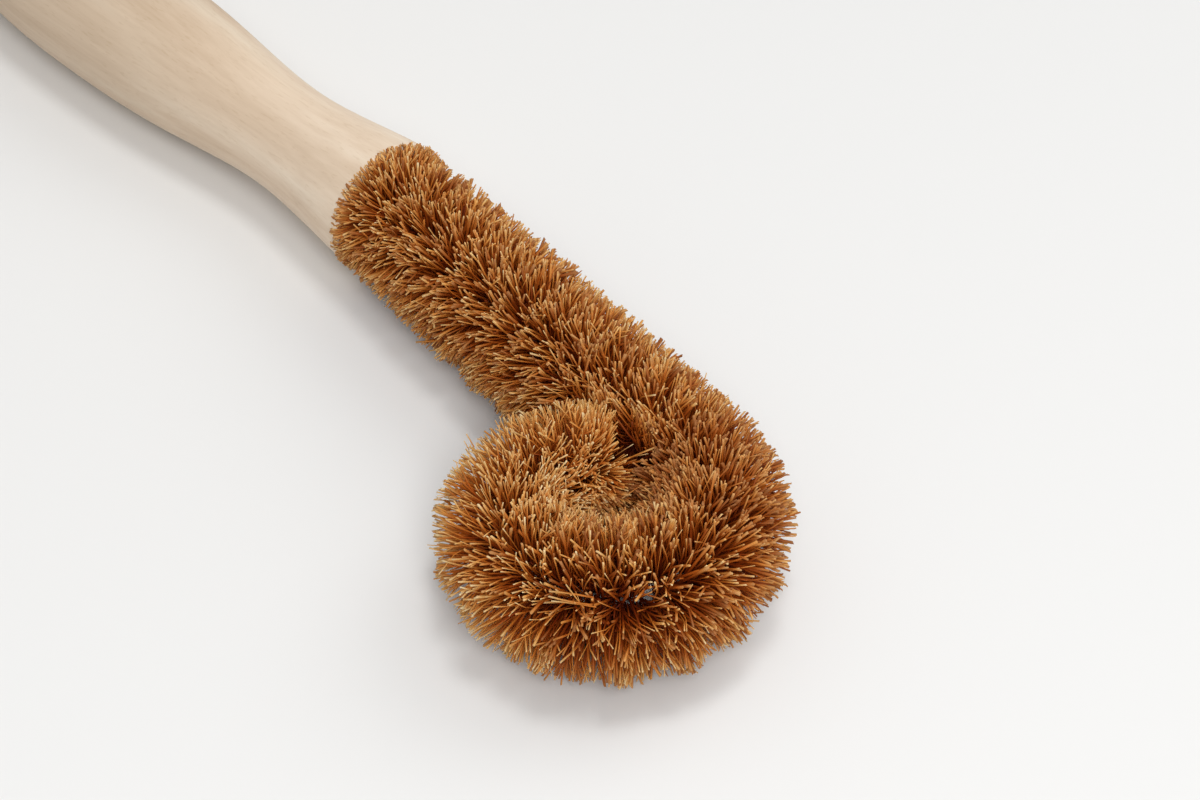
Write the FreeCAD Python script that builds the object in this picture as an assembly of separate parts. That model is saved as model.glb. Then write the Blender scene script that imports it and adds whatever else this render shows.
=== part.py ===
"""Dish brush: a turned wooden handle, a stem of two twisted wires, and stiff plant fibre in a curled head.

All sizes are in millimetres. The handle lies along X with the head towards +X, the curl of the head
lies flat on the -Y side, and the brush rests on the plane z = 0.
"""
import FreeCAD, Part
import math
import os
from collections import namedtuple
from FreeCAD import Vector

# Handle, with distances measured back from its front face
handle_length = 140.0
flare_d = 26.0
rim_round = 1.0
neck_d = 20.8
neck_back = 28.6
shoulder_d = 24.2
shoulder_back = 49.6
belly_d = 28.0
belly_back = 86.6
tail_d = 22.4
tail_back = 124.0
hang_hole_d = 6.0
hang_hole_from_end = 16.0

# Stem of two wires, glued into a drilled socket
wire_d = 1.8
twist_pitch = 13.2
stem_depth = 32.0
socket_spare = 1.0
glue_wall = 0.75
glue_setback = 5.0
mouth_bend_r = 25.0
wire_trim = 1.0

# Head of fibre: a straight run out of the handle, then a flat curl that tightens
brush_d = 28.0
head_lean_deg = 6.3
straight_run = 86.4
curl_turn_deg = 304.0
curl_arcs = 4
curl_r_first = 18.1
curl_r_last = 13.0
curl_eye_r = 1.5
tip_d = 25.0
tip_bunches = 3

# Clearances
wire_gap = 0.1
glue_gap = 0.05
core_gap = 0.1
bunch_gap = 0.1
press_gap = 0.3

# Sizes that follow from those above
brush_r = brush_d / 2
head_lean = math.radians(head_lean_deg)
curl_turn = math.radians(curl_turn_deg)
wire_offset = (wire_d + wire_gap) / 2
stem_r = wire_offset + wire_d / 2
socket_r = stem_r + glue_wall + 2 * glue_gap
core_r = stem_r + core_gap
half_turn = twist_pitch / 2
UP = Vector(0, 0, 1)

Stretch = namedtuple("Stretch", "start heading length turn")


def along(heading):
    """Unit vector in the plane of the curl that points along a heading."""
    return Vector(math.cos(heading), math.sin(heading), 0)


def leftward(heading):
    """Unit vector in the plane of the curl, square to the left of a heading."""
    return Vector(-math.sin(heading), math.cos(heading), 0)


def arc_centre(stretch):
    """Centre of an arc that turns to the right."""
    return stretch.start - leftward(stretch.heading) * (stretch.length / -stretch.turn)


def place_on(stretch, distance):
    """Point and heading at a distance from the start of a stretch."""
    heading = stretch.heading + stretch.turn * distance / stretch.length
    if stretch.turn == 0:
        return stretch.start + along(heading) * distance, heading
    radius = stretch.length / -stretch.turn
    return arc_centre(stretch) + leftward(heading) * radius, heading


def lay_core():
    """Core line of the stem from its end in the handle to its tip, as straight and arc stretches."""
    bend = mouth_bend_r * head_lean
    bend_chord = mouth_bend_r * math.sin(head_lean)
    runs = [(stem_depth - bend_chord, 0.0), (bend, -head_lean), (straight_run, 0.0)]
    step = curl_turn / curl_arcs
    for index in range(curl_arcs):
        share = index / (curl_arcs - 1)
        radius = curl_r_first + (curl_r_last - curl_r_first) * share
        runs.append((radius * step, -step))
    stretches = []
    start = Vector(-stem_depth, 0, 0)
    heading = 0.0
    for length, turn in runs:
        stretch = Stretch(start, heading, length, turn)
        stretches.append(stretch)
        start, heading = place_on(stretch, length)
    return stretches


core = lay_core()
straight = core[2]
curl = core[3:]
tip, tip_heading = place_on(curl[-1], curl[-1].length)


def make_handle():
    """Turned handle with a drilled socket for the stem and a cross hole to hang it by."""
    rim = Vector(-rim_round, flare_d / 2, 0)
    belly = Vector(-belly_back, belly_d / 2, 0)
    end = Vector(-handle_length, 0, 0)
    neck = Vector(-neck_back, neck_d / 2, 0)
    shoulder = Vector(-shoulder_back, shoulder_d / 2, 0)
    tail = Vector(-tail_back, tail_d / 2, 0)
    backward = Vector(-1, 0, 0)
    inward = Vector(0, -1, 0)
    front_side = Part.BSplineCurve()
    front_points = [rim, neck, shoulder, belly]
    front_side.interpolate(Points=front_points, InitialTangent=neck - rim, FinalTangent=backward)
    back_side = Part.BSplineCurve()
    back_side.interpolate(Points=[belly, tail, end], InitialTangent=backward, FinalTangent=inward)
    corner = Vector(0, flare_d / 2 - rim_round, 0)
    rim_middle = Vector(-rim_round, flare_d / 2 - rim_round, 0) + Vector(1, 1, 0).normalize() * rim_round
    edges = [
        Part.makeLine(end, Vector()),
        Part.makeLine(Vector(), corner),
        Part.Arc(corner, rim_middle, rim).toShape(),
        front_side.toShape(),
        back_side.toShape(),
    ]
    blank = Part.Face(Part.Wire(edges)).revolve(Vector(), Vector(1, 0, 0), 360)
    socket_length = stem_depth + socket_spare
    socket = Part.makeCylinder(socket_r, socket_length, Vector(-socket_length, 0, 0), Vector(1, 0, 0))
    hole_base = Vector(-handle_length + hang_hole_from_end, 0, -belly_d)
    hole = Part.makeCylinder(hang_hole_d / 2, 2 * belly_d, hole_base, UP)
    return blank.cut(socket).cut(hole)


def make_glue():
    """Set glue round the stem in the socket, ending short of the mouth where the stem bends."""
    base = Vector(-stem_depth, 0, 0)
    length = stem_depth - glue_setback
    plug = Part.makeCylinder(socket_r - glue_gap, length, base, Vector(1, 0, 0))
    return plug.cut(Part.makeCylinder(stem_r + glue_gap, length, base, Vector(1, 0, 0)))


def strand_place(distance, phase):
    """Point and direction of one wire's centre line at a distance along the core line."""
    past = distance
    for stretch in core:
        if past <= stretch.length:
            break
        past -= stretch.length
    middle, heading = place_on(stretch, past)
    angle = 2 * math.pi * distance / twist_pitch + phase
    side = leftward(heading)
    point = middle + (side * math.cos(angle) + UP * math.sin(angle)) * wire_offset
    forward = 1 - stretch.turn / stretch.length * wire_offset * math.cos(angle)
    swirl = wire_offset * 2 * math.pi / twist_pitch
    direction = along(heading) * forward + (UP * math.cos(angle) - side * math.sin(angle)) * swirl
    return point, direction.normalize()


def arc_by_tangents(start, corner, end):
    """Arc that touches both legs of an even corner at their ends."""
    middle = (start + end) * 0.5
    flatness = (end - start).Length / 2 / (corner - start).Length
    return Part.Arc(start, middle + (corner - middle) * (flatness / (1 + flatness)), end).toShape()


def biarc(start, start_way, end, end_way):
    """Two arcs that join two points smoothly, each along its own direction."""
    span = end - start
    ways = start_way + end_way
    spread = 2 * (1 - start_way.dot(end_way))
    reach = span.dot(ways)
    leg = (math.sqrt(reach * reach + spread * span.dot(span)) - reach) / spread
    first_corner = start + start_way * leg
    last_corner = end - end_way * leg
    joint = (first_corner + last_corner) * 0.5
    return [arc_by_tangents(start, first_corner, joint), arc_by_tangents(joint, last_corner, end)]


def make_strand(phase):
    """One wire of the twisted pair, swept along two arcs for each quarter turn, cut off short of the tip."""
    length = sum(stretch.length for stretch in core) - wire_trim
    count = math.ceil(length / (twist_pitch / 4))
    places = [strand_place(length * index / count, phase) for index in range(count + 1)]
    edges = []
    for (start, start_way), (end, end_way) in zip(places, places[1:]):
        edges += biarc(start, start_way, end, end_way)
    start, start_way = places[0]
    shell = Part.BRepOffsetAPI.MakePipeShell(Part.Wire(edges))
    shell.add(Part.Wire(Part.makeCircle(wire_d / 2, start, start_way)))
    shell.build()
    shell.makeSolid()
    return shell.shape()


def bunch_spans(stretch):
    """Start and end distances of the bunches on a stretch, about one for each half turn of the wires."""
    count = max(1, round(stretch.length / half_turn))
    width = stretch.length / count
    return [(index * width + bunch_gap / 2, (index + 1) * width - bunch_gap / 2) for index in range(count)]


def section(point, heading, radius, inner):
    """Cross-section of a bunch: a disc with a hole for the stem, cut off on the inner side of the curl."""
    way = along(heading)
    disc = Part.Face(Part.Wire(Part.makeCircle(radius, point, way)))
    disc = disc.cut(Part.Face(Part.Wire(Part.makeCircle(core_r, point, way))))
    if inner < radius:
        corners = []
        wide = 2 * radius
        for side, rise in ((-inner, -wide), (wide, -wide), (wide, wide), (-inner, wide)):
            corners.append(point + leftward(heading) * side + UP * rise)
        disc = disc.common(Part.Face(Part.makePolygon(corners + corners[:1])))
    return disc.Faces[0]


def straight_bunch(start, end):
    """Bunch on the straight run."""
    point, heading = place_on(straight, start)
    return section(point, heading, brush_r, brush_r).extrude(along(heading) * (end - start))


def curl_bunch(stretch, start, end, radius):
    """Bunch on an arc of the curl, a wedge that narrows towards the eye."""
    point, heading = place_on(stretch, start)
    arc_r = stretch.length / -stretch.turn
    face = section(point, heading, radius, arc_r - curl_eye_r)
    return face.revolve(arc_centre(stretch), -UP, math.degrees((end - start) / arc_r))


def run_block(start, end, near, far):
    """Upright block beside the straight run, between two distances along it and two to its right."""
    block = Part.makeBox(end - start, far - near, 2 * brush_d, Vector(start, -far, -brush_d))
    block.rotate(Vector(), UP, math.degrees(straight.heading))
    block.translate(straight.start)
    return block


# Room that pieces of fibre give up to each other where the tip presses against the straight run
beyond = 4 * (straight_run + brush_d)
press_line = (tip - straight.start).dot(-leftward(straight.heading)) / 2
eye = arc_centre(curl[-1])
outer_r = curl_r_last + brush_r + press_gap
tip_side = run_block(-beyond, beyond, press_line - press_gap / 2, beyond)
tip_room = tip_side.common(Part.makeCylinder(outer_r, 2 * brush_d, eye - UP * brush_d))
run_room = run_block(-beyond, beyond, -beyond, press_line + press_gap / 2)
curl_room = run_block(straight_run - press_gap, beyond, -beyond, beyond)
handle_room = Part.makeBox(beyond, beyond, beyond, Vector(bunch_gap - beyond, -beyond / 2, -beyond / 2))


def make_straight_bunches():
    """Bunches on the straight run, the first one flush with the slanting face of the handle."""
    bunches = []
    for start, end in bunch_spans(straight):
        if not bunches:
            start -= brush_r * math.tan(head_lean)
        bunches.append(straight_bunch(start, end).cut(handle_room).cut(tip_room))
    return bunches


def make_curl_bunches():
    """Bunches round the curl, thinner at the tip and pressed flat beside the straight run."""
    bunches = []
    for stretch in curl:
        spans = bunch_spans(stretch)
        for index, (start, end) in enumerate(spans):
            taper = 0.0
            if stretch is curl[-1]:
                taper = max(0, index + 1 + tip_bunches - len(spans)) / tip_bunches
            bunch = curl_bunch(stretch, start, end, brush_r + (tip_d / 2 - brush_r) * taper)
            if stretch is curl[-1]:
                bunch = bunch.cut(run_room)
            bunches.append(bunch)
    return bunches


def make_tip():
    """Fibre that fans out past the ends of the wires, as a dome on the last bunch."""
    ball = Part.makeSphere(tip_d / 2, tip)
    behind = Part.makeBox(beyond, beyond, beyond, Vector(bunch_gap / 2 - beyond, -beyond / 2, -beyond / 2))
    behind.rotate(Vector(), UP, math.degrees(tip_heading))
    behind.translate(tip)
    return ball.cut(behind).cut(run_room).cut(curl_room)


def make_all():
    """Every piece by its name, with the handle's axis on X."""
    pieces = {
        "handle": make_handle(),
        "stem_glue": make_glue(),
        "wire_strand_a": make_strand(0.0),
        "wire_strand_b": make_strand(math.pi),
    }
    for number, bunch in enumerate(make_straight_bunches() + make_curl_bunches(), start=1):
        pieces[f"fibre_bunch_{number:02d}"] = bunch
    pieces["fibre_tip"] = make_tip()
    return pieces


def outer_box(pieces):
    """Box round the handle and the fibre, which hide the rest."""
    box = FreeCAD.BoundBox()
    for name, piece in pieces.items():
        if name == "handle" or name.startswith("fibre"):
            box.add(piece.optimalBoundingBox(False, False))
    return box


pieces = make_all()
box = outer_box(pieces)
to_rest = Vector(-box.Center.x, -box.Center.y, -box.ZMin)
os.makedirs("parts", exist_ok=True)
for name, piece in pieces.items():
    piece.translate(to_rest)
    piece.exportStep(f"parts/{name}.step")
print(f"{len(pieces)} pieces, {box.XLength:.1f} x {box.YLength:.1f} x {box.ZLength:.1f} mm")
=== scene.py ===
"""Looks of the dish brush: a pale turned handle, a twisted wire stem and a curled head of plant fibre."""

import math

import bpy
import numpy as np
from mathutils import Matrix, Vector


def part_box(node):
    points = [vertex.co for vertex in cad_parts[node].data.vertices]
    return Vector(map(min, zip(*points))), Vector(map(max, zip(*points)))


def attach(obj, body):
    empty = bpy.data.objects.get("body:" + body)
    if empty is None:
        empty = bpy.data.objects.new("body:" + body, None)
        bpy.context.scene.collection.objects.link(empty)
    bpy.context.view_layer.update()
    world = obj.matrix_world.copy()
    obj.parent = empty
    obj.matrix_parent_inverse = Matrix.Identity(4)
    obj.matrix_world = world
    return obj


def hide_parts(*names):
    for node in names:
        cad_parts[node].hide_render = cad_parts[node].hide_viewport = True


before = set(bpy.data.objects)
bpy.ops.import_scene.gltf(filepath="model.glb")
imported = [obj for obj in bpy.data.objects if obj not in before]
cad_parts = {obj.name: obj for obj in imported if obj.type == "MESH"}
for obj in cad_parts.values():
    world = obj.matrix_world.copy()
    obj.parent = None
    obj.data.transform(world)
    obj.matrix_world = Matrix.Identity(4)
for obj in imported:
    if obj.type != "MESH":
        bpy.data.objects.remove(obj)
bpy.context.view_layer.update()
rng = np.random.default_rng(7)

# Head as the solids have it, in metres and radians
BRUSH_R = 0.014
TIP_R = 0.0125
HEAD_LEAN = math.radians(6.3)
MOUTH_BEND_R = 0.025
STRAIGHT_RUN = 0.0864
CURL_TURN = math.radians(304.0)
CURL_R = np.linspace(0.0181, 0.013, 4)
HALF_TURN = 0.0066

# Handle's face, where the head begins
handle_low, handle_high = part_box("handle")
FACE_X = handle_high[0]
AXIS_Y = (handle_low[1] + handle_high[1]) / 2
AXIS_Z = BRUSH_R
FLARE_R = 0.013

# Number of fibres: on a metre of the core, over the handle's rim, round the ends of the wires, in the fan
FIBRES_PER_M = 105_000
COLLAR_FIBRES = 600
CAP_FIBRES = 900
FAN_FIBRES = 420

# One fibre: thickness, thinning when pale and at the tip, flatness, slant of the cut end, chance bend
FIBRE_R = (0.00016, 0.00036)
THICK_POWER = 2
PALE_THINNING = 0.4
TIP_THINNING = 0.05
FLATNESS = (0.6, 1.0)
CUT_SLANT = 0.5
BEND = 0.0006
SIDES = 4
RING_PLACES = (0.0, 0.35, 0.7, 1.0)

# Roots beside the wires, and how far fibres keep the way they leave them, on the tube and at the tip
ROOT_R = (0.0014, 0.0034)
ROOT_STIR = 0.0011
ROOT_TURN = 0.4
LEAVE_SHARE = 0.6
LEAVE_REACH = 0.7
TIP_LEAVE_REACH = 0.5

# Trimmed surface: unevenness by waves, tufts and chance, fibres cut short and fibres hidden below
TRIM = 0.0005
TRIM_WAVE = 0.5
TRIM_TUFT = 0.7
TRIM_BACK = 0.4
TRIM_STIR = 0.4
SHORT_SHARE = 0.18
SHORT_BY = 0.0025
UNDER_SHARE = 0.22
UNDER_REACH = (0.0032, 0.0085)

# Sway of the tips: by chance, on the last arc, of strays, in clumps, and in tufts between the wires' turns
SPREAD = 0.0009
LAST_SPREAD = 0.0014
STRAY_SHARE = 0.09
STRAY_SPREAD = 0.0024
CLUMP = 0.0009
FINE_CLUMP = 0.0004
TUFT = 0.0011

# Waves of the clumps, fine clumps and trim: how many, shortest and longest along the core, most round it
CLUMP_WAVES = (16, 0.005, 0.013, 9)
FINE_WAVES = (24, 0.0018, 0.004, 30)
TRIM_WAVES = (16, 0.003, 0.010, 12)

# Crowding inside the curl: room past an arc's centre, push back from a wall, how rare it is to rise along it
EYE_ROOM = (-0.0095, -0.0045)
LAST_EYE_ROOM = (-0.001, 0.004)
CROWDING = 0.0015
RISE_POWER = 1.5

# Gaps to the handle's face and to the floor, and the least share of a fibre that the floor leaves
FACE_GAP = 0.0003
FLOOR_GAP = 0.0005
LEAST_SHARE = 0.1

# Fibres at the handle's rim: lean towards it, slimmer tube, and how the first ones fold over it
RIM_LEAN = 0.0008
RIM_REACH = 0.0025
RIM_SLIM = 0.0011
SLIM_REACH = 0.016
COLLAR_AHEAD = (0.0004, 0.0014)
RIM_LAP = (-0.0008, 0.0007)
RIM_SKEW = 0.0007
RIM_RISE = (0.0124, 0.0136)
RIM_UNDER = 0.0002
RIM_OVER = 0.0012

# Fibres round the ends of the wires: turn forwards, less so above and below, start, stir, trim and root
CAP_RISE = 0.75
CAP_FLATTEN = 0.4
CAP_BACK = 0.002
CAP_STIR = 0.1
CAP_TRIM = 0.5
CAP_ROOT = 0.0018

# Fan of level fibres from the tip into the eye of the curl
FAN_TURN = (math.radians(22.0), math.radians(80.0))
FAN_LIFT = (math.radians(6.0), math.radians(9.0))
FAN_LENGTH = (0.0090, 0.0130)
FAN_BACK = 0.004
FAN_ROOT = 0.001
FAN_STIR = 0.0008

# Darkest and palest fibres on the straight run and on each arc of the curl, in the fan and loose; the darker
# first arc and the paler last two arcs are partly the fibres' own tone and partly painted light
TONES = ((0.05, 0.90), (0.0, 0.56), (0.0, 0.92), (0.34, 1.08), (0.42, 1.16))
# The fan's tones are kept dark as painted shade in the eye of the curl.
FAN_TONES = (0.0, 0.55)
LOOSE_TONES = (0.85, 1.0)
TONE_PATCH = 0.08

# Paleness towards the cut end, and the distance from the core at which it is full; nearer the core the fibres
# are painted dark as painted shade
PALE_END = (0.95, 1.03)
FULL_REACH = 0.013

# Parting in the front of the curl where the wires glint: place along the core, way out, width
GLINT_AT = 0.1193
GLINT_WAY = (0.26, 0.66, 0.70)
GLINT_R = 0.0013
GLINT_ROOT_R = 0.0010

# Crease along the front of the curl: place and reach along the core, angle round it, how far it opens
CREASE_AT = 0.1252
CREASE_LENGTH = 0.014
CREASE_ANGLE = math.radians(46.0)
CREASE_OPEN = 0.0007
CREASE_REACH = 0.0035

# Painted shade in the hollow beside the tip: its middle past the curl's start and in from the straight run,
# its reach and how much it darkens
HOLLOW_PLACE = (-0.0035, 0.0115)
HOLLOW_R = 0.0065
HOLLOW_PAINTED_SHADE = 0.35

# Slit between the tip and the straight run: past the curl's start and in from the straight run
SLIT = ((-0.0100, 0.0064), (-0.0030, 0.0074), (0.0004, 0.0100))
SLIT_HALF = 0.0017
SLIT_HEIGHTS = (0.004, 0.013)
SLIT_STIR = 0.0007

# Loose strands, each from one place to another: past the curl's start, in from the straight run, height
LOOSE_STRANDS = (
    ((-0.0050, 0.0115, 0.0190), (0.0000, 0.0066, 0.0240)),
    ((-0.0064, 0.0100, 0.0190), (-0.0040, 0.0082, 0.0225)),
    ((-0.0060, 0.0112, 0.0185), (-0.0015, 0.0070, 0.0215)),
    ((0.0120, 0.0326, 0.0160), (0.0106, 0.0370, 0.0185)),
    ((0.0135, 0.0330, 0.0165), (0.0116, 0.0389, 0.0185)),
    ((0.0142, 0.0334, 0.0160), (0.0130, 0.0388, 0.0175)),
    ((0.0127, 0.0340, 0.0205), (0.0168, 0.0350, 0.0185)),
    ((0.0149, 0.0317, 0.0220), (0.0164, 0.0299, 0.0180)),
    ((0.0195, 0.0350, 0.0240), (0.0141, 0.0397, 0.0240)),
    ((0.0206, 0.0354, 0.0230), (0.0153, 0.0402, 0.0231)),
    ((0.0200, 0.0357, 0.0232), (0.0146, 0.0402, 0.0236)),
    ((0.0193, 0.0368, 0.0226), (0.0155, 0.0374, 0.0252)),
    ((-0.0206, 0.0287, 0.0215), (-0.0222, 0.0290, 0.0235)),
    ((-0.0205, 0.0296, 0.0210), (-0.0220, 0.0297, 0.0225)),
    ((-0.0109, 0.0419, 0.0145), (-0.0126, 0.0444, 0.0150)),
    ((-0.0106, 0.0421, 0.0135), (-0.0130, 0.0438, 0.0135)),
)

# Grain of the handle's wood, waves to the metre along and across: soft bands, fine streaks and pores
WOOD_BANDS = (14.0, 160.0, 160.0)
WOOD_STREAKS = (45.0, 1300.0, 1300.0)
WOOD_PORES = (420.0, 2600.0, 2600.0)
STREAK_DEPTH = 0.0001

# Floor: half its width, its colour, and how far from the brush it turns into an even pale ground
FLOOR_HALF = 4.0
FLOOR_COLOUR = (0.80, 0.797, 0.788, 1.0)
GROUND_COLOUR = (0.88, 0.877, 0.868, 1.0)
GROUND_FROM = 0.2
GROUND_WHOLE = 0.75

# Way to the bright side of the room, and lamps: name, place from the middle of the view, width, power
BRIGHT_SIDE = (0.28, 0.55, 0.78)
LAMPS = (
    ("overhead_lamp", (0.05, 0.12, 1.4), 0.4, 4.5),
    ("far_lamp", (0.2, 1.0, 1.0), 1.0, 3.5),
    ("near_lamp", (0.71, -0.527, 0.95), 0.6, 8.0),
)

# Camera that looks down on the brush in a frame 1200 pixels wide
FOCAL_PX = 2800.0
FRAME_PX = 1200.0
SENSOR_MM = 36.0
CLIP_START = 0.01
VIEW_DOWN = math.radians(44.6)
VIEW_HEADING = math.radians(45.37)
VIEW_DISTANCE = 0.503
VIEW_CENTRE = Vector((0.0655, 0.02395, 0.0))

# Margin of a fibre's cell in the map of surfaces
MAP_MARGIN = 0.08

# Curvature taken for a straight core, a length beyond the brush, one too small to matter, and the way up
LEAST_CURVE = 0.001
FAR = 1.0
TINY = 1e-6
UP = np.array([0.0, 0.0, 1.0])


# Core line of the head from the handle's face to the tip

def lay_core():
    """Start, heading, length and curvature of each stretch of the core line, seen from above."""
    step = CURL_TURN / len(CURL_R)
    lengths = np.array([STRAIGHT_RUN] + [radius * step for radius in CURL_R])
    curves = np.array([0.0] + [-1 / radius for radius in CURL_R])
    headings = -HEAD_LEAN + np.concatenate(([0.0], np.cumsum(lengths * curves)[:-1]))
    begins = np.concatenate(([0.0], np.cumsum(lengths)[:-1]))
    starts = [np.array([FACE_X, AXIS_Y - MOUTH_BEND_R * (1 - math.cos(HEAD_LEAN))])]
    for length, curve, heading in zip(lengths, curves, headings):
        turned = length * curve
        chord = length * np.sinc(turned / 2 / np.pi)
        way = heading + turned / 2
        starts.append(starts[-1] + chord * np.array([math.cos(way), math.sin(way)]))
    return np.array(starts), headings, lengths, curves, begins


STARTS, HEADINGS, LENGTHS, CURVES, BEGINS = lay_core()


def flat(heading):
    """Forward and left unit vectors for an array of headings."""
    zero = np.zeros_like(heading)
    forward = np.stack([np.cos(heading), np.sin(heading), zero], -1)
    left = np.stack([-np.sin(heading), np.cos(heading), zero], -1)
    return forward, left


def flat_one(heading):
    """Forward and left unit vectors for one heading."""
    forward, left = flat(np.array([heading]))
    return forward[0], left[0]


def tilt(level, angle):
    """Level unit vectors turned upwards by angles."""
    return level * np.cos(angle)[:, None] + UP * np.sin(angle)[:, None]


def core_place(distance):
    """Points, forward and left vectors and curvature of the core line at distances from the handle's face."""
    index = np.clip(np.searchsorted(BEGINS, distance, side="right") - 1, 0, len(BEGINS) - 1)
    past = distance - BEGINS[index]
    turned = past * CURVES[index]
    way = HEADINGS[index] + turned / 2
    chord = past * np.sinc(turned / 2 / np.pi)
    point = np.stack(
        [
            STARTS[index, 0] + chord * np.cos(way),
            STARTS[index, 1] + chord * np.sin(way),
            np.full_like(past, AXIS_Z),
        ],
        -1,
    )
    forward, left = flat(HEADINGS[index] + turned)
    return point, forward, left, -CURVES[index]


def bunch_spans():
    """Start and end of each bunch along the core line, as the solids divide it."""
    spans = []
    for begin, length in zip(BEGINS, LENGTHS):
        count = max(1, round(length / HALF_TURN))
        edges = begin + np.linspace(0, length, count + 1)
        spans += list(zip(edges[:-1], edges[1:]))
    return spans


# Ways of the straight run, start of the curl, start and centre of its last arc, and the tip
HEAD_FORWARD, HEAD_LEFT = flat_one(HEADINGS[0])
CURL_START = np.array([*STARTS[1], AXIS_Z])
LAST_START = np.array([*STARTS[-2], AXIS_Z])
LAST_CENTRE = LAST_START - flat_one(HEADINGS[-1])[1] * CURL_R[-1]
TIP = np.array([*STARTS[-1], AXIS_Z])
TIP_HEADING = HEADINGS[-1] + LENGTHS[-1] * CURVES[-1]
TIP_FORWARD, TIP_LEFT = flat_one(TIP_HEADING)


def from_curl(points):
    """How far points lie past the curl's start and in from the straight run."""
    offset = points - CURL_START
    return np.stack([offset @ HEAD_FORWARD, -offset @ HEAD_LEFT], -1)


# Centre of the last arc seen from the curl's start, and how far in the tip presses on the straight run
LOBE_AHEAD, LOBE_ACROSS = from_curl(LAST_CENTRE)
PRESS_LINE = from_curl(TIP)[1] / 2


# Clumps and uneven trim of the fibre

def soft_waves(count, shortest, longest, most_around):
    """Random smooth field over distance along the core and angle round it, of about unit height."""
    along = 2 * np.pi / rng.uniform(shortest, longest, count)
    around = rng.integers(-most_around, most_around + 1, count)
    phase = rng.uniform(0, 2 * np.pi, count)

    def field(distance, angle):
        waves = np.cos(distance[:, None] * along + angle[:, None] * around + phase)
        return waves.sum(1) * math.sqrt(2 / count)

    return field


clump_along = soft_waves(*CLUMP_WAVES)
clump_around = soft_waves(*CLUMP_WAVES)
fine_along = soft_waves(*FINE_WAVES)
fine_around = soft_waves(*FINE_WAVES)
trim_height = soft_waves(*TRIM_WAVES)


# Walls and openings that turn fibres aside

def crowd(point, tip, way, limit):
    """Turns fibres that would pass a wall up or down along it, as long as before."""
    offset = tip - point
    length = np.linalg.norm(offset, axis=1)
    over = np.einsum("ij,ij->i", offset, np.broadcast_to(way, offset.shape)) - limit
    pushed = over > 0
    back = np.where(pushed, over + CROWDING * rng.random(len(over)), 0.0)
    stir = rng.normal(0, SPREAD, offset.shape) * pushed[:, None]
    offset = offset - way * back[:, None] + stir
    level = np.hypot(offset[:, 0], offset[:, 1])
    rise = np.sqrt(np.maximum(length**2 - level**2, 0.0))
    height = np.abs(offset[:, 2])
    height = height + (rise - height) * rng.random(len(over)) ** RISE_POWER
    offset[:, 2] = np.where(pushed, np.copysign(height, offset[:, 2]), offset[:, 2])
    return point + offset


def lobe_edge(tip):
    """How far from the straight run's core the outer side of the curl's last arc begins."""
    ahead = from_curl(tip)[:, 0] - LOBE_AHEAD
    reach = CURL_R[-1] + TIP_R
    edge = LOBE_ACROSS - np.sqrt(np.maximum(reach**2 - ahead**2, 0.0))
    return np.where(np.abs(ahead) < reach, np.maximum(edge, PRESS_LINE), FAR)


def crowd_curl(distance, point, tip, left, curve):
    """Turns fibres up or down in the eye of the curl, and where its tip presses on the straight run."""
    count = len(distance)
    on_run = distance < STRAIGHT_RUN
    on_last = distance >= BEGINS[-1]
    room = np.where(on_last, rng.uniform(*LAST_EYE_ROOM, count), rng.uniform(*EYE_ROOM, count))
    tip = crowd(point, tip, -left, 1 / np.maximum(curve, LEAST_CURVE) + room)
    across = from_curl(point)[:, 1]
    tip = crowd(point, tip, -HEAD_LEFT, np.where(on_run, lobe_edge(tip) - across, FAR))
    return crowd(point, tip, HEAD_LEFT, np.where(on_last, across - PRESS_LINE, FAR))


def stop_at_floor(root, tip):
    """Shortens the fibres whose tips come too near the floor, so that they end above it."""
    before = FLOOR_GAP - root[:, 2]
    after = FLOOR_GAP - tip[:, 2]
    share = np.where(after > 0, before / np.minimum(before - after, -TINY), 1.0)
    return root + (tip - root) * np.clip(share, LEAST_SHARE, 1.0)[:, None]


def from_glint(points):
    """How far points outside the core lie from the middle of the parting, and which way."""
    place, forward, left, _ = (values[0] for values in core_place(np.array([GLINT_AT])))
    axis = np.stack([forward, left, UP], 1) @ np.array(GLINT_WAY)
    axis /= np.linalg.norm(axis)
    offset = points - place
    out = offset @ axis
    aside = offset - out[:, None] * axis
    return np.where(out > 0, np.linalg.norm(aside, axis=1), FAR), aside


def part(points):
    """Pushes points out of the parting."""
    gap, aside = from_glint(points)
    widen = np.sqrt(1 + (GLINT_R / np.maximum(gap, TINY)) ** 2)
    return points + aside * (widen - 1)[:, None]


def crease(distance, angle):
    """How far tips swing away from the crease along the front of the curl."""
    aside = (angle - CREASE_ANGLE) * BRUSH_R
    near = np.exp(-np.abs(aside) / CREASE_REACH - ((distance - CREASE_AT) / CREASE_LENGTH) ** 2)
    return CREASE_OPEN * np.sign(aside) * near


def keep_off_slit(core, points):
    """Holds points on their own core's side of the slit between the tip and the straight run."""
    for first, second in zip(np.array(SLIT[:-1]), np.array(SLIT[1:])):
        length = np.linalg.norm(second - first)
        along = (second - first) / length
        normal = np.array([-along[1], along[0]])
        place = from_curl(points) - first
        side = np.sign((from_curl(core) - first) @ normal)
        off = place @ normal * side
        low, high = SLIT_HEIGHTS
        half = SLIT_HALF * np.clip((points[:, 2] - low) / (high - low), 0, 1)
        beside = (place @ along > 0) & (place @ along < length) & (off < half)
        shift = (half + rng.uniform(0, SLIT_STIR, len(points)) - off) * side * beside
        points = points + shift[:, None] * (normal[0] * HEAD_FORWARD - normal[1] * HEAD_LEFT)
    return points


def in_hollow(points):
    """How near points lie to the middle of the hollow beside the tip, 1 at the middle, for the painted shade
    there.
    """
    off = (from_curl(points) - np.array(HOLLOW_PLACE)) / HOLLOW_R
    return np.exp(-(off**2).sum(1))


# Paths of fibres

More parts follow.
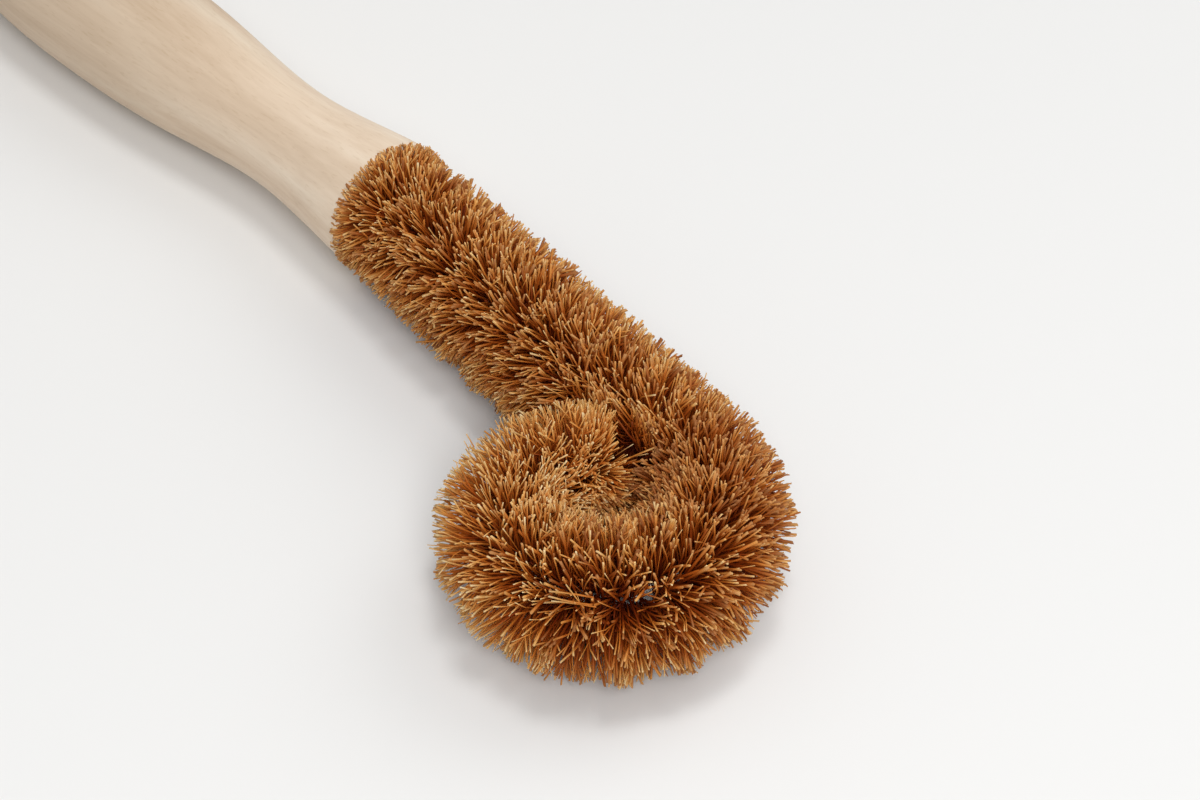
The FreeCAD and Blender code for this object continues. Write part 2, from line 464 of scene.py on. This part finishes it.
def sway(distance, angle, helix):
    """How far tips lie ahead of their roots and aside of them, in clumps and tufts and by chance."""
    count = len(distance)
    spread = np.where(distance >= BEGINS[-1], LAST_SPREAD, SPREAD)
    spread = np.where(rng.random(count) < STRAY_SHARE, STRAY_SPREAD, spread)
    ahead = clump_along(distance, angle) * CLUMP + fine_along(distance, angle) * FINE_CLUMP
    ahead += rng.normal(0, 1, count) * spread - np.sin(helix) * TUFT
    ahead -= RIM_LEAN * (1 - np.cos(angle)) * np.exp(-distance / RIM_REACH)
    aside = clump_around(distance, angle) * CLUMP + fine_around(distance, angle) * FINE_CLUMP
    aside += rng.normal(0, 1, count) * spread + crease(distance, angle)
    return ahead, aside


def cut_short(count):
    """How much is missing from fibres, nothing from most of them."""
    return (rng.random(count) < SHORT_SHARE) * rng.uniform(0, SHORT_BY, count)


def trimmed_reach(distance, angle, helix):
    """How far from the core tips lie: at the trimmed surface, cut short or hidden below."""
    count = len(distance)
    uneven = TRIM_WAVE * trim_height(distance, angle) + TRIM_TUFT * np.cos(helix) - TRIM_BACK
    reach = BRUSH_R + TRIM * uneven
    reach += rng.normal(0, TRIM_STIR, count) * TRIM - RIM_SLIM * np.exp(-distance / SLIM_REACH)
    taper = np.clip((distance - BEGINS[-1]) / LENGTHS[-1], 0, 1)
    reach *= 1 + (TIP_R / BRUSH_R - 1) * taper
    reach -= cut_short(count)
    return np.where(rng.random(count) < UNDER_SHARE, rng.uniform(*UNDER_REACH, count), reach)


def place_roots(point, forward, left, angle):
    """Roots of fibres beside the wires."""
    count = len(angle)
    outward = tilt(left, angle + rng.normal(0, ROOT_TURN, count))
    out = rng.uniform(*ROOT_R, (count, 1))
    along = rng.normal(0, ROOT_STIR, (count, 1))
    return point + outward * out + forward * along


def tube_fibres(start, end, tones):
    """Core points, roots, bends, tips and tones of the fibres from the core between two distances."""
    count = round(FIBRES_PER_M * (end - start))
    distance = rng.uniform(start, end, count)
    angle = rng.uniform(-np.pi, np.pi, count)
    point, forward, left, curve = core_place(distance)
    helix = 2 * np.pi * distance / HALF_TURN - 2 * angle
    ahead, aside = sway(distance, angle, helix)
    reach = trimmed_reach(distance, angle, helix)
    tip = point + tilt(left, angle + aside / BRUSH_R) * reach[:, None] + forward * ahead[:, None]
    tip = crowd_curl(distance, point, tip, left, curve)
    tip = keep_off_slit(point, part(tip))
    root = place_roots(point, forward, left, angle)
    for ends in (root, tip):
        ends[:, 0] = np.maximum(ends[:, 0], FACE_X + FACE_GAP)
    tip = stop_at_floor(root, tip)
    length = np.linalg.norm(tip - root, axis=1, keepdims=True)
    leave = root + tilt(left, angle) * length * LEAVE_REACH
    bend = (1 - LEAVE_SHARE) * (root + tip) / 2 + LEAVE_SHARE * leave
    bend = keep_off_slit(point, part(bend))
    tone = rng.uniform(*tones, count) + clump_around(distance, angle) * TONE_PATCH
    # Painted shade: fibres ending in the hollow beside the tip take darker tones.
    tone -= HOLLOW_PAINTED_SHADE * in_hollow(tip)
    keep = from_glint(root)[0] > GLINT_ROOT_R
    return point[keep], root[keep], bend[keep], tip[keep], tone[keep]


def collar_fibres():
    """The same for the fibres next to the handle's face, which fold over its rim."""
    angle = rng.uniform(-np.pi, np.pi, COLLAR_FIBRES)
    ahead, left = flat_one(0.0)
    outward = tilt(left, angle)
    centre = np.array([FACE_X, AXIS_Y, AXIS_Z])
    point = centre + ahead * rng.uniform(*COLLAR_AHEAD, (COLLAR_FIBRES, 1))
    root = point + outward * rng.uniform(*ROOT_R, (COLLAR_FIBRES, 1))
    rise = rng.uniform(*RIM_RISE, COLLAR_FIBRES)
    lap = rng.uniform(*RIM_LAP, COLLAR_FIBRES) - RIM_SKEW * np.cos(angle)
    rise = np.where(lap > 0, np.maximum(rise, FLARE_R + FIBRE_R[0]), rise)
    over = np.where(lap > 0, FLARE_R + RIM_OVER, FLARE_R - RIM_UNDER)
    bend = point + outward * over[:, None]
    tip = centre + outward * rise[:, None] - ahead * lap[:, None]
    tip += np.cross(ahead, outward) * rng.normal(0, SPREAD, (COLLAR_FIBRES, 1))
    tip = stop_at_floor(root, tip)
    return point, root, bend, tip, rng.uniform(*TONES[0], COLLAR_FIBRES)


def fan_out(point, root, way, tip, tones):
    """The same for fibres that leave the core one way and end off the floor."""
    tip = stop_at_floor(root, tip)
    length = np.linalg.norm(tip - root, axis=1, keepdims=True)
    return point, root, root + way * length * TIP_LEAVE_REACH, tip, rng.uniform(*tones, len(root))


def cap_fibres():
    """The same for the fibres round the ends of the wires."""
    angle = rng.uniform(-np.pi, np.pi, CAP_FIBRES)
    rise = rng.uniform(0, CAP_RISE, CAP_FIBRES) * (1 - CAP_FLATTEN * np.abs(np.sin(angle)))
    way = TIP_FORWARD * rise[:, None] + tilt(TIP_LEFT, angle) * np.sqrt(1 - rise**2)[:, None]
    point = TIP - TIP_FORWARD * rng.uniform(0, CAP_BACK, (CAP_FIBRES, 1))
    aim = way + rng.normal(0, CAP_STIR, way.shape)
    aim /= np.linalg.norm(aim, axis=1, keepdims=True)
    reach = TIP_R + rng.normal(0, CAP_TRIM, CAP_FIBRES) * TRIM - cut_short(CAP_FIBRES)
    tip = point + aim * reach[:, None]
    tip = crowd(point, tip, HEAD_LEFT, from_curl(point)[:, 1] - PRESS_LINE)
    tip = keep_off_slit(point, tip)
    return fan_out(point, point + way * CAP_ROOT, way, tip, TONES[-1])


def fan_fibres():
    """The same for the long level fibres that fan out of the tip into the eye of the curl."""
    heading = TIP_HEADING - rng.uniform(*FAN_TURN, FAN_FIBRES)
    way = tilt(flat(heading)[0], rng.normal(*FAN_LIFT, FAN_FIBRES))
    point = TIP - TIP_FORWARD * rng.uniform(0, FAN_BACK, (FAN_FIBRES, 1))
    root = point + way * FAN_ROOT + rng.normal(0, FAN_STIR, (FAN_FIBRES, 3))
    length = rng.uniform(*FAN_LENGTH, (FAN_FIBRES, 1))
    tip = root + way * length + rng.normal(0, SPREAD, (FAN_FIBRES, 3))
    # Darker fan tones: painted shade in the eye of the curl.
    return fan_out(point, root, way, tip, FAN_TONES)


def loose_strands():
    """The same for the few strands that lie loose across the others."""
    ends = np.array(LOOSE_STRANDS)
    level = CURL_START * np.array([1.0, 1.0, 0.0])
    ends = level + ends[..., :1] * HEAD_FORWARD - ends[..., 1:2] * HEAD_LEFT + ends[..., 2:] * UP
    root, tip = ends[:, 0], ends[:, 1]
    way = (tip - root) / np.linalg.norm(tip - root, axis=1, keepdims=True)
    tone = rng.uniform(*LOOSE_TONES, len(root))
    return root - way * BRUSH_R, root, (root + tip) / 2, tip, tone


def join(*groups):
    """One set of fibres out of several."""
    return tuple(np.concatenate(parts) for parts in zip(*groups))


# Meshes of fibres

def fibre_rings(point, root, bend, tip, tone):
    """Corners of slim bent fibres, ring by ring to the cut end, and how far each ring lies from the core."""
    count = len(root)
    way = tip - root
    length = np.linalg.norm(way, axis=1, keepdims=True)
    way /= np.maximum(length, TINY)
    across = np.cross(way, rng.normal(size=way.shape))
    across /= np.linalg.norm(across, axis=1, keepdims=True)
    other = np.cross(way, across)
    bend = bend + across * rng.normal(0, BEND, (count, 1)) * (length / BRUSH_R)
    thick = FIBRE_R[0] + (FIBRE_R[1] - FIBRE_R[0]) * rng.random((count, 1)) ** THICK_POWER
    thick *= 1 - PALE_THINNING * np.clip(tone, 0, 1)[:, None]
    narrow = rng.uniform(*FLATNESS, (count, 1))
    slant = rng.normal(0, CUT_SLANT, (count, 1))
    corners = []
    reach = []
    for place in RING_PLACES:
        rest = 1 - place
        middle = root * rest**2 + bend * (2 * place * rest) + tip * place**2
        reach.append(np.linalg.norm(middle - point, axis=1))
        slim = thick * (1 - TIP_THINNING * place)
        for side in range(SIDES):
            turn = 2 * math.pi * side / SIDES
            aside = across * math.cos(turn) + other * math.sin(turn) * narrow
            cut = way * slant * math.cos(turn) * (place == RING_PLACES[-1])
            corners.append(middle + (aside + cut) * slim)
    return np.stack(corners, 1), np.stack(reach, 1)


def fibre_faces():
    """Corners of each side face of one fibre, ring by ring, and of its cut end."""
    last = (len(RING_PLACES) - 1) * SIDES
    faces = []
    for low in range(0, last, SIDES):
        for side in range(SIDES):
            after = (side + 1) % SIDES
            faces.append([low + side, low + after, low + SIDES + after, low + SIDES + side])
    faces.append([last + side for side in range(SIDES)])
    return np.array(faces)


def fibre_mesh(name, fibres):
    """Mesh of a set of fibres, which keeps the way along each fibre and its tone for the colours."""
    corners, reach = fibre_rings(*fibres)
    count, each, _ = corners.shape
    one = fibre_faces()
    per_face = one.shape[1]
    faces = (np.arange(count)[:, None, None] * each + one).reshape(-1, per_face)
    mesh = bpy.data.meshes.new(name)
    mesh.vertices.add(count * each)
    mesh.vertices.foreach_set("co", corners.ravel())
    mesh.loops.add(faces.size)
    mesh.loops.foreach_set("vertex_index", faces.ravel())
    mesh.polygons.add(len(faces))
    mesh.polygons.foreach_set("loop_start", np.arange(len(faces)) * per_face)
    on_side = np.arange(len(one)) < len(one) - 1
    mesh.polygons.foreach_set("use_smooth", np.tile(on_side, count))
    mesh.update(calc_edges=True)
    # Way out along each fibre, by its own length and by the distance from the core; the colours turn it into
    # painted shade towards the core and pale cut ends.
    share = np.minimum(reach / reach[:, -1:], reach / FULL_REACH) * rng.uniform(*PALE_END, (count, 1))
    along = np.repeat(share, SIDES, axis=1).ravel()
    tone = np.repeat(fibres[-1], each)
    for label, values in (("along", along), ("tone", tone)):
        mesh.attributes.new(label, "FLOAT", "POINT").data.foreach_set("value", values.astype(np.float32))
    lay_bake_map(mesh, count)
    return mesh


def lay_bake_map(mesh, count):
    """Map of surfaces with a small cell for each fibre, its sides in strips and its cut end on top."""
    cells = math.ceil(math.sqrt(count))
    bands = len(RING_PLACES)
    corners = []
    for ring in range(bands - 1):
        low, high = ring / bands, (ring + 1) / bands
        for side in range(SIDES):
            left, right = side / SIDES, (side + 1) / SIDES
            corners += [(left, low), (right, low), (right, high), (left, high)]
    corners += [(0, 1 - 1 / bands), (1, 1 - 1 / bands), (1, 1), (0, 1)]
    cell = MAP_MARGIN + np.array(corners) * (1 - 2 * MAP_MARGIN)
    index = np.arange(count)
    corner = np.stack([index % cells, index // cells], -1)[:, None, :]
    places = (corner + cell[None]) / cells
    mesh.uv_layers.new(name="OFBake").data.foreach_set("uv", places.ravel())


# Materials

def new_material(name):
    """Empty node material with its principled shader."""
    material = bpy.data.materials.new(name)
    material.use_nodes = True
    nodes = material.node_tree.nodes
    return material, nodes, material.node_tree.links, nodes["Principled BSDF"]


def ramp(nodes, stops):
    """Colour ramp node with stops of place and colour."""
    node = nodes.new("ShaderNodeValToRGB")
    elements = node.color_ramp.elements
    for index, (place, colour) in enumerate(stops):
        element = elements[index] if index < len(elements) else elements.new(place)
        element.position = place
        element.color = (*colour, 1.0)
    return node


def multiply(nodes, links, first, second):
    """Product of two colours."""
    mix = nodes.new("ShaderNodeMix")
    mix.data_type = "RGBA"
    mix.blend_type = "MULTIPLY"
    mix.inputs["Factor"].default_value = 1.0
    links.new(first, mix.inputs["A"])
    links.new(second, mix.inputs["B"])
    return mix.outputs["Result"]


def combine(nodes, links, operation, first, second):
    """Result of one operation on two values."""
    node = nodes.new("ShaderNodeMath")
    node.operation = operation
    links.new(first, node.inputs[0])
    links.new(second, node.inputs[1])
    return node.outputs["Value"]


def fibre_material():
    """Rusty golden plant fibre with painted shade darkening it towards the core, paler at the cut ends, no
    two fibres alike.
    """
    material, nodes, links, shader = new_material("fibre")
    along = nodes.new("ShaderNodeAttribute")
    along.attribute_name = "along"
    tone = nodes.new("ShaderNodeAttribute")
    tone.attribute_name = "tone"
    # Near black towards the core is painted shade; the pale cut ends are the fibre's own colour.
    length = ramp(nodes, [
        (0.0, (0.08, 0.008, 0.0008)),
        (0.35, (0.21, 0.030, 0.0028)),
        (0.60, (0.47, 0.098, 0.009)),
        (0.80, (0.62, 0.190, 0.027)),
        (0.93, (0.71, 0.325, 0.088)),
        (1.0, (0.79, 0.480, 0.215)),
    ])
    links.new(along.outputs["Fac"], length.inputs["Fac"])
    tint = ramp(nodes, [
        (0.0, (0.44, 0.28, 0.20)),
        (0.2, (0.66, 0.50, 0.38)),
        (0.45, (0.87, 0.77, 0.62)),
        (0.7, (1.0, 1.05, 0.96)),
        (0.88, (1.04, 1.23, 1.42)),
        (1.0, (1.08, 1.40, 1.80)),
    ])
    links.new(tone.outputs["Fac"], tint.inputs["Fac"])
    place = nodes.new("ShaderNodeTexCoord")
    mottle = nodes.new("ShaderNodeTexNoise")
    mottle.inputs["Scale"].default_value = 420.0
    links.new(place.outputs["Object"], mottle.inputs["Vector"])
    shade = ramp(nodes, [(0.3, (0.78, 0.74, 0.70)), (0.7, (1.0, 1.0, 1.0))])
    links.new(mottle.outputs["Fac"], shade.inputs["Fac"])
    colour = multiply(nodes, links, length.outputs["Color"], tint.outputs["Color"])
    colour = multiply(nodes, links, colour, shade.outputs["Color"])
    links.new(colour, shader.inputs["Base Color"])
    shader.inputs["Roughness"].default_value = 0.55
    shader.inputs["Specular IOR Level"].default_value = 0.15
    return material


def stretched_noise(nodes, links, place, scale, detail):
    """Noise stretched along the handle."""
    stretch = nodes.new("ShaderNodeMapping")
    stretch.inputs["Scale"].default_value = scale
    links.new(place, stretch.inputs["Vector"])
    noise = nodes.new("ShaderNodeTexNoise")
    noise.inputs["Scale"].default_value = 1.0
    noise.inputs["Detail"].default_value = detail
    links.new(stretch.outputs["Vector"], noise.inputs["Vector"])
    return noise.outputs["Fac"]


def middle_darkening(nodes, links, place):
    """Slight darkening of the wood, darkest along the middle of the handle and lightest towards the head."""
    split = nodes.new("ShaderNodeSeparateXYZ")
    links.new(place, split.inputs["Vector"])
    along = nodes.new("ShaderNodeMapRange")
    along.inputs["From Min"].default_value = handle_low[0]
    along.inputs["From Max"].default_value = handle_high[0]
    links.new(split.outputs["X"], along.inputs["Value"])
    shade = ramp(nodes, [
        (0.0, (0.96, 0.95, 0.94)),
        (0.25, (0.82, 0.80, 0.77)),
        (0.55, (0.84, 0.82, 0.79)),
        (0.85, (1.0, 1.0, 1.0)),
    ])
    links.new(along.outputs["Result"], shade.inputs["Fac"])
    return shade.outputs["Color"]


def wood_material():
    """Pale sanded wood with soft bands and fine streaks along the handle, and small pores."""
    material, nodes, links, shader = new_material("handle_wood")
    place = nodes.new("ShaderNodeTexCoord").outputs["Object"]
    bands = stretched_noise(nodes, links, place, WOOD_BANDS, detail=4.0)
    streaks = stretched_noise(nodes, links, place, WOOD_STREAKS, detail=3.0)
    pores = stretched_noise(nodes, links, place, WOOD_PORES, detail=1.0)
    colours = ramp(nodes, [
        (0.32, (0.700, 0.545, 0.400)),
        (0.50, (0.770, 0.620, 0.472)),
        (0.68, (0.820, 0.690, 0.545)),
    ])
    links.new(bands, colours.inputs["Fac"])
    streak_shade = ramp(nodes, [(0.35, (0.95, 0.935, 0.92)), (0.6, (1.0, 1.0, 1.0))])
    links.new(streaks, streak_shade.inputs["Fac"])
    pore_shade = ramp(nodes, [(0.28, (0.94, 0.92, 0.89)), (0.40, (1.0, 1.0, 1.0))])
    links.new(pores, pore_shade.inputs["Fac"])
    colour = multiply(nodes, links, colours.outputs["Color"], streak_shade.outputs["Color"])
    colour = multiply(nodes, links, colour, pore_shade.outputs["Color"])
    # Wood darker along the middle of the handle than at its ends.
    colour = multiply(nodes, links, colour, middle_darkening(nodes, links, place))
    links.new(colour, shader.inputs["Base Color"])
    rough = nodes.new("ShaderNodeMapRange")
    rough.inputs["To Min"].default_value = 0.7
    rough.inputs["To Max"].default_value = 0.55
    links.new(streaks, rough.inputs["Value"])
    links.new(rough.outputs["Result"], shader.inputs["Roughness"])
    bump = nodes.new("ShaderNodeBump")
    bump.inputs["Strength"].default_value = 0.25
    bump.inputs["Distance"].default_value = STREAK_DEPTH
    links.new(streaks, bump.inputs["Height"])
    links.new(bump.outputs["Normal"], shader.inputs["Normal"])
    shader.inputs["Specular IOR Level"].default_value = 0.3
    return material


def wire_material():
    """Galvanised steel wire, dull in patches."""
    material, nodes, links, shader = new_material("stem_wire")
    noise = nodes.new("ShaderNodeTexNoise")
    noise.inputs["Scale"].default_value = 500.0
    colours = ramp(nodes, [(0.34, (0.42, 0.40, 0.37)), (0.60, (0.84, 0.835, 0.82))])
    links.new(noise.outputs["Fac"], colours.inputs["Fac"])
    links.new(colours.outputs["Color"], shader.inputs["Base Color"])
    rough = nodes.new("ShaderNodeMapRange")
    rough.inputs["To Min"].default_value = 0.6
    rough.inputs["To Max"].default_value = 0.3
    links.new(noise.outputs["Fac"], rough.inputs["Value"])
    links.new(rough.outputs["Result"], shader.inputs["Roughness"])
    shader.inputs["Metallic"].default_value = 0.6
    return material


def glue_material():
    """Set wood glue, yellowish and slightly cloudy."""
    material, nodes, links, shader = new_material("stem_glue")
    noise = nodes.new("ShaderNodeTexNoise")
    noise.inputs["Scale"].default_value = 300.0
    colours = ramp(nodes, [(0.3, (0.50, 0.40, 0.22)), (0.7, (0.62, 0.52, 0.32))])
    links.new(noise.outputs["Fac"], colours.inputs["Fac"])
    links.new(colours.outputs["Color"], shader.inputs["Base Color"])
    shader.inputs["Roughness"].default_value = 0.4
    return material


def floor_material():
    """Plain pale tabletop, seen as an even pale ground far from the brush."""
    material, nodes, links, shader = new_material("floor")
    material.cycles.emission_sampling = "NONE"
    shader.inputs["Base Color"].default_value = FLOOR_COLOUR
    shader.inputs["Roughness"].default_value = 0.6
    shader.inputs["Specular IOR Level"].default_value = 0.2
    place = nodes.new("ShaderNodeTexCoord")
    away = nodes.new("ShaderNodeVectorMath")
    away.operation = "LENGTH"
    links.new(place.outputs["Object"], away.inputs[0])
    far = nodes.new("ShaderNodeMapRange")
    far.interpolation_type = "SMOOTHSTEP"
    far.inputs["From Min"].default_value = GROUND_FROM
    far.inputs["From Max"].default_value = GROUND_WHOLE
    links.new(away.outputs["Value"], far.inputs["Value"])
    rays = nodes.new("ShaderNodeLightPath").outputs
    seen = combine(nodes, links, "MAXIMUM", rays["Is Camera Ray"], rays["Is Glossy Ray"])
    seen = combine(nodes, links, "MAXIMUM", seen, rays["Is Transmission Ray"])
    ground = nodes.new("ShaderNodeEmission")
    ground.inputs["Color"].default_value = GROUND_COLOUR
    mix = nodes.new("ShaderNodeMixShader")
    links.new(combine(nodes, links, "MULTIPLY", seen, far.outputs["Result"]), mix.inputs["Fac"])
    links.new(shader.outputs["BSDF"], mix.inputs[1])
    links.new(ground.outputs["Emission"], mix.inputs[2])
    links.new(mix.outputs["Shader"], nodes["Material Output"].inputs["Surface"])
    return material


# Pieces

def add_fibre_piece(name, fibres, material, node):
    """Piece of fibre that stands for a bunch."""
    mesh = fibre_mesh(name, fibres)
    mesh.materials.append(material)
    piece = bpy.data.objects.new(name, mesh)
    bpy.context.collection.objects.link(piece)
    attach(piece, "root")
    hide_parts(node)


def add_fibres():
    """One piece of fibre for each bunch of the solids, and one for the tip."""
    material = fibre_material()
    for number, (start, end) in enumerate(bunch_spans(), start=1):
        tones = TONES[np.searchsorted(BEGINS, start + TINY) - 1]
        fibres = tube_fibres(start, end, tones)
        if number == 1:
            fibres = join(fibres, collar_fibres())
        add_fibre_piece(f"fibres_{number:02d}", fibres, material, f"fibre_bunch_{number:02d}")
    tip = join(cap_fibres(), fan_fibres(), loose_strands())
    add_fibre_piece("fibres_tip", tip, material, "fibre_tip")


def dress_nodes():
    """Materials for the pieces whose solids show as they are."""
    wire = wire_material()
    for node, material in (
        ("handle", wood_material()),
        ("stem_glue", glue_material()),
        ("wire_strand_a", wire),
        ("wire_strand_b", wire),
    ):
        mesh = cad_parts[node].data
        mesh.materials.clear()
        mesh.materials.append(material)


# Stage

def add_floor():
    """Wide pale tabletop."""
    mesh = bpy.data.meshes.new("floor")
    corners = [(x * FLOOR_HALF, y * FLOOR_HALF, 0) for x, y in ((-1, -1), (1, -1), (1, 1), (-1, 1))]
    mesh.from_pydata(corners, [], [(0, 1, 2, 3)])
    mesh.materials.append(floor_material())
    floor = bpy.data.objects.new("floor", mesh)
    bpy.context.collection.objects.link(floor)


def add_room():
    """Dim room that is brighter on the brush's far side."""
    world = bpy.data.worlds.new("room")
    world.use_nodes = True
    nodes, links = world.node_tree.nodes, world.node_tree.links
    place = nodes.new("ShaderNodeTexCoord")
    facing = nodes.new("ShaderNodeVectorMath")
    facing.operation = "DOT_PRODUCT"
    facing.inputs[1].default_value = Vector(BRIGHT_SIDE).normalized()
    links.new(place.outputs["Generated"], facing.inputs[0])
    spread = nodes.new("ShaderNodeMapRange")
    spread.inputs["From Min"].default_value = -1.0
    links.new(facing.outputs["Value"], spread.inputs["Value"])
    room = ramp(nodes, [
        (0.2, (0.30, 0.30, 0.30)),
        (0.5, (0.36, 0.36, 0.36)),
        (1.0, (0.56, 0.558, 0.553)),
    ])
    links.new(spread.outputs["Result"], room.inputs["Fac"])
    links.new(room.outputs["Color"], nodes["Background"].inputs["Color"])
    bpy.context.scene.world = world


def add_lamp(name, place, size, power):
    """Round soft lamp aimed at the brush."""
    data = bpy.data.lights.new(name, "AREA")
    data.shape = "DISK"
    data.size = size
    data.energy = power
    lamp = bpy.data.objects.new(name, data)
    lamp.location = VIEW_CENTRE + place
    lamp.rotation_euler = (-place).to_track_quat("-Z", "Y").to_euler()
    bpy.context.collection.objects.link(lamp)


def add_camera():
    """Camera that sees the head and the front of the handle from above."""
    data = bpy.data.cameras.new("camera")
    data.sensor_width = SENSOR_MM
    data.lens = FOCAL_PX / FRAME_PX * SENSOR_MM
    data.clip_start = CLIP_START
    camera = bpy.data.objects.new("camera", data)
    level = math.cos(VIEW_DOWN)
    look = Vector((-math.sin(VIEW_HEADING) * level, math.cos(VIEW_HEADING) * level, -math.sin(VIEW_DOWN)))
    camera.location = VIEW_CENTRE - look * VIEW_DISTANCE
    camera.rotation_euler = look.to_track_quat("-Z", "Y").to_euler()
    bpy.context.collection.objects.link(camera)
    bpy.context.scene.camera = camera


bpy.context.scene.view_settings.view_transform = "Standard"
add_camera()
add_room()
for lamp_name, lamp_place, lamp_size, lamp_power in LAMPS:
    add_lamp(lamp_name, Vector(lamp_place), lamp_size, lamp_power)
add_floor()
dress_nodes()
add_fibres()
